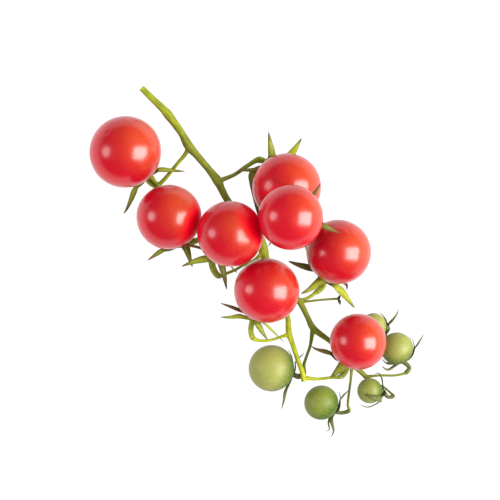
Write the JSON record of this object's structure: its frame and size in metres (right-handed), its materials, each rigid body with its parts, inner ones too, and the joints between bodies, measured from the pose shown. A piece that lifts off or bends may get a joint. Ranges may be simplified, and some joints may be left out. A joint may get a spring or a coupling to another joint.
{
  "type": "truss of cherry tomatoes",
  "caption": "Truss of cherry tomatoes as picked, lying down: a forked green stalk with ripe red and small unripe green fruits, each in its calyx.",
  "frame": {"origin": "bottom centre of the whole truss, on the surface that it lies on", "axes": "+Z up from the surface, +Y along the truss towards the cut end of its stalk, +X to the right seen from above with +Y up"},
  "size_m": [0.1314, 0.139, 0.0497],
  "materials": {
    "ripe_skin": "glossy ripe red tomato skin",
    "unripe_skin": "satin pale green unripe tomato skin",
    "calyx_skin": "matt, finely hairy green sepals",
    "stalk_skin": "matt, finely hairy yellow-green stalk"
  },
  "bodies": {
    "root": {"stalk": "stalk_skin", "tomato_ripe_1": "ripe_skin", "calyx_ripe_1": "calyx_skin", "tomato_ripe_2": "ripe_skin", "calyx_ripe_2": "calyx_skin", "tomato_ripe_3": "ripe_skin", "calyx_ripe_3": "calyx_skin", "tomato_ripe_4": "ripe_skin", "calyx_ripe_4": "calyx_skin", "tomato_ripe_5": "ripe_skin", "calyx_ripe_5": "calyx_skin", "tomato_ripe_6": "ripe_skin", "calyx_ripe_6": "calyx_skin", "tomato_ripe_7": "ripe_skin", "calyx_ripe_7": "calyx_skin", "tomato_ripe_8": "ripe_skin", "calyx_ripe_8": "calyx_skin", "tomato_green_1": "unripe_skin", "calyx_green_1": "calyx_skin", "tomato_green_2": "unripe_skin", "calyx_green_2": "calyx_skin", "tomato_green_3": "unripe_skin", "calyx_green_3": "calyx_skin", "tomato_green_4": "unripe_skin", "calyx_green_4": "calyx_skin", "tomato_green_5": "unripe_skin", "calyx_green_5": "calyx_skin"}
  },
  "joints": []
}
